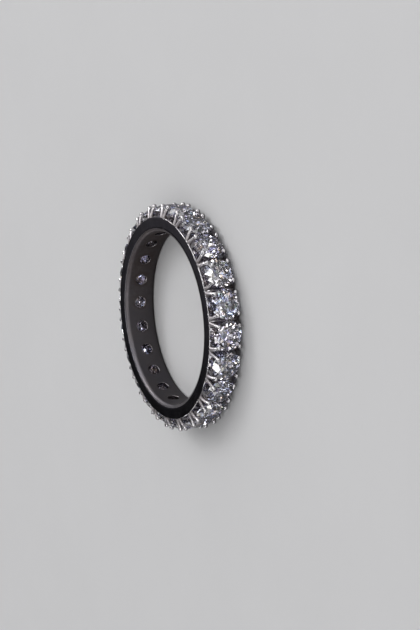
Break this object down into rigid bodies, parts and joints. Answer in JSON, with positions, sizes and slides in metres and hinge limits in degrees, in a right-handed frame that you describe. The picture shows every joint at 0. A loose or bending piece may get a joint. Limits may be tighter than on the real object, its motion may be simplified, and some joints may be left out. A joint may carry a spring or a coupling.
{
  "type": "eternity ring",
  "caption": "Finger ring with a full circle of round brilliants held by forked claws on a narrow polished band, drilled through under each stone.",
  "frame": {"origin": "middle of the side face that the ring lies on, on the finger hole's axis", "axes": "+Z along the axis of the finger hole, +X out through a gap between two stones, +Y out through the middle of a stone"},
  "size_m": [0.0216, 0.0216, 0.0031],
  "materials": {
    "white_gold": "polished",
    "diamond": "polished"
  },
  "bodies": {
    "root": {"band": "white_gold", "stone_01": "diamond", "stone_02": "diamond", "stone_03": "diamond", "stone_04": "diamond", "stone_05": "diamond", "stone_06": "diamond", "stone_07": "diamond", "stone_08": "diamond", "stone_09": "diamond", "stone_10": "diamond", "stone_11": "diamond", "stone_12": "diamond", "stone_13": "diamond", "stone_14": "diamond", "stone_15": "diamond", "stone_16": "diamond", "stone_17": "diamond", "stone_18": "diamond", "stone_19": "diamond", "stone_20": "diamond", "stone_21": "diamond", "stone_22": "diamond"}
  },
  "joints": []
}
